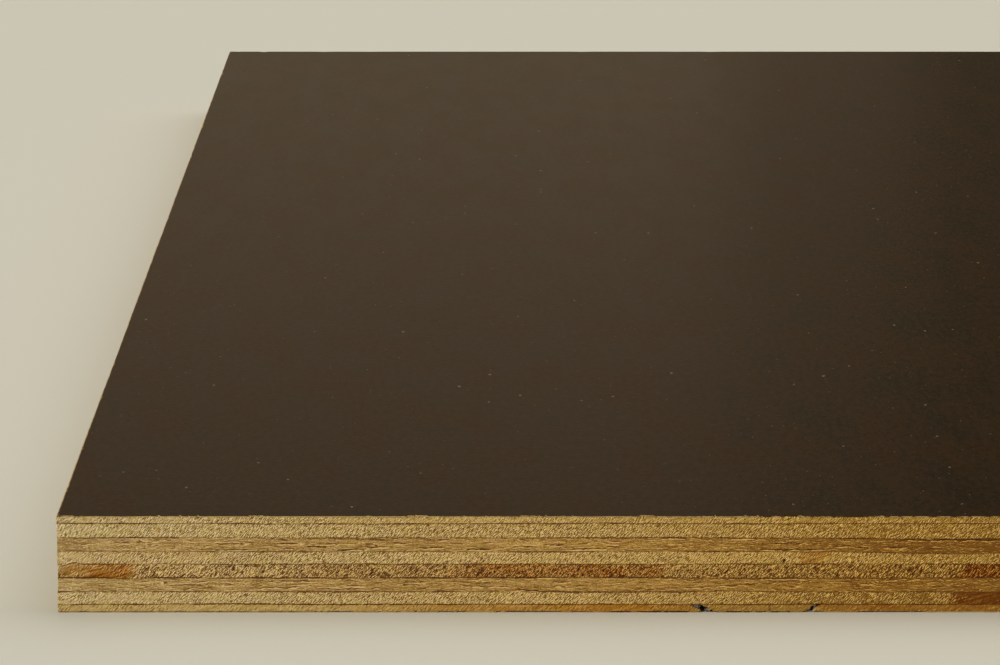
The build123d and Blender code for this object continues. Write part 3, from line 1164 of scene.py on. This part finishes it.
def film_material():
    """Phenolic film: dark brown and satin, with faint blotches of tone and hue, and pale dust. Its sawn
    edge is pale, partly a smear of wood and partly painted light on the shaded edge, and dark where the
    film shows."""
    material, tree = empty_material("brown phenolic film")
    place = scaled(put(tree, "TexCoord").outputs["Object"], (1 / MM,) * 3)
    blotches = grain_noise(place, FILM_BLOTCH, 0.0, 3.0)
    grain = grain_noise(place, FILM_GRAIN)
    mottle = grain_noise(place, FILM_MOTTLE, 0.0, 2.0)
    fine = times_plus(mottle, 0.4, times(grain, 0.25))
    tone = times_plus(blotches, 0.35, fine)
    colour = tint(ramp(tone, 0.36, 0.64), FILM_DARK, FILM_LIGHT)
    hue = ramp(grain_noise(place, FILM_HUE_PATCH, 0.3, 2.0), 0.35, 0.65)
    colour = tint(1.0, colour, tint(hue, FILM_REDDER, FILM_GREENER), "MULTIPLY")

    dusty = scaled(place, (1.0, 0.45, 1.0))
    for scale, biggest, strength in DUST:
        cells = {"Vector": dusty, "Scale": scale}
        dust = put(tree, "TexVoronoi", cells, feature="F1", voronoi_dimensions="2D").outputs
        chosen = fed("SeparateColor", {0: dust["Color"]})
        size = times(maths("POWER", chosen, 7.0), biggest)
        speck = ramp(minus(size, dust["Distance"]), 0.0, 0.012)
        colour = tint(times(speck, strength), colour, DUST_COLOUR)

    # Paler sawn edge: partly a smear of wood, partly painted light
    smear_and_painted_light = tint(grain_noise(place, SMEAR_AND_PAINTED_LIGHT_SPOT), SMEAR_AND_PAINTED_LIGHT_DARK, SMEAR_AND_PAINTED_LIGHT_PALE)
    edge_colour = tint(field(tree, "shows"), smear_and_painted_light, SAWN_FILM)
    colour = tint(field(tree, "sawn"), colour, edge_colour)
    bumped = fed("Bump", {"Height": grain, "Strength": 0.15, "Distance": FILM_BUMP_DEPTH})
    surface(tree, colour, ramp(blotches, 0.3, 0.7, *FILM_ROUGHNESS), bumped, FILM_SHINE)
    return material


PALE_STAIN = rgb(0.70, 0.45, 0.18)
ROSY_STAIN = rgb(0.6, 0.4, 0.2)
ORANGE_STAIN = rgb(0.67, 0.36, 0.04)
TAN_STAIN = rgb(0.77, 0.54, 0.22)
STAINED_LOOK = {"size": 1.25, "pits": 1.1, "contrast": 1.3, "bump": 0.7}
TAN_LOOK = {"size": 1.4, "pits": 0.0, "contrast": 0.8, "bump": 0.5}

FINISHES = {
    "pale_veneer": veneer_material("pale sawn veneer", 11.0, PALE_END, PALE_LONG, PALE_STAIN),
    "crossband_veneer": veneer_material("rosy crossband veneer", 23.0, PALE_END, ROSY_LONG, ROSY_STAIN),
    "stained_veneer": veneer_material(
        "stained centre veneer", 37.0, DEEP_END, PALE_LONG, ORANGE_STAIN, **STAINED_LOOK
    ),
    "tan_veneer": veneer_material("tan back veneer", 51.0, TAN_END, PALE_LONG, TAN_STAIN, **TAN_LOOK),
    "phenolic_film": film_material(),
}
SLOTS = {part["node"]: part["material_slot"] for part in frame["record"]["subparts"]}


def finish_piece(piece, node):
    """Gives a piece its body and its CAD node's material, and hides that node so the piece stands for it."""
    slot = SLOTS[node]
    piece.data.materials.append(FINISHES[slot])
    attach(piece, "root")
    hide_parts(node)


# Floor and light

FLOOR_HALF = 40.0
FLOOR_HEIGHT = -0.00002
FLOOR_LOOK = {"Base Color": rgb(0.672, 0.658, 0.57), "Roughness": 0.9, "Specular IOR Level": 0.1}
ROOM_LIGHT = rgb(0.135, 0.114, 0.075)
# Pale cards side by side behind the sheet, seen only as the sheet mirrors them. They are dimmer to the
# right: middle, width and strength in watts to the square metre
PALE_CARDS = (
    (-0.85, 0.5, 1.8), (-0.5, 0.2, 1.75), (-0.35, 0.1, 0.95), (-0.25, 0.1, 0.25), (-0.15, 0.1, 0.02),
)
CARD_HEIGHT = 0.6
CARD_BEHIND = 1.6
CARD_COLOUR = (1.0, 0.75, 0.50)
# Soft distant lights: name, where they come from, colour, strength and spread in degrees
SOFT_LIGHTS = (
    ("front left", (-1.0, -1.1, 0.75), (1.0, 0.99, 0.96), 2.7, 24.0),
    ("back right", (0.5, 0.6, 1.0), (1.0, 0.985, 0.95), 1.5, 80.0),
)


def make_floor():
    """A plain pale floor just under the sheet, far wider than any view."""
    mesh = bpy.data.meshes.new("floor")
    half, height = FLOOR_HALF, FLOOR_HEIGHT
    corners = [(-half, -half, height), (half, -half, height), (half, half, height), (-half, half, height)]
    mesh.from_pydata(corners, [], [(0, 1, 2, 3)])
    floor = new_object("floor", mesh)
    material = bpy.data.materials.new("pale floor")
    material.use_nodes = True
    for socket, value in FLOOR_LOOK.items():
        material.node_tree.nodes["Principled BSDF"].inputs[socket].default_value = value
    mesh.materials.append(material)


def add_lamp(name, kind, place, target, colour, energy):
    """A lamp that faces its target. The camera doesn't see the lamp itself."""
    data = bpy.data.lights.new(name, kind)
    data.energy = energy
    data.color = colour
    lamp = new_object(name, data)
    lamp.location = place
    x, y, z = np.array(target) - np.array(place)
    lamp.rotation_euler = (math.atan2(math.hypot(x, y), -z), 0, math.atan2(y, x) - math.pi / 2)
    lamp.visible_camera = False
    return lamp


def make_light():
    """A dim room, a broad soft light from the front left, a softer one from the back right, and the
    cards in the film."""
    world = bpy.data.worlds.new("room")
    world.use_nodes = True
    world.node_tree.nodes["Background"].inputs["Color"].default_value = ROOM_LIGHT
    bpy.context.scene.world = world
    for name, place, colour, strength, spread in SOFT_LIGHTS:
        lamp = add_lamp(name, "SUN", place, (0.0, 0.0, 0.0), colour, strength)
        lamp.data.angle = math.radians(spread)
        lamp.visible_glossy = False
    for x, width, strength in PALE_CARDS:
        place, target = (x, CARD_BEHIND, CARD_HEIGHT / 2), (x, 0.0, CARD_HEIGHT / 2)
        lamp = add_lamp("pale card", "AREA", place, target, CARD_COLOUR, CARD_HEIGHT * width * strength)
        lamp.data.shape = "RECTANGLE"
        lamp.data.size, lamp.data.size_y = width, CARD_HEIGHT
        lamp.visible_diffuse = False
    bpy.context.scene.view_settings.view_transform = "Standard"


make_camera()
for layer_name in LAYERS:
    maker = film if layer_name.endswith("film") else veneer
    finish_piece(maker(layer_name), layer_name)
make_floor()
make_light()
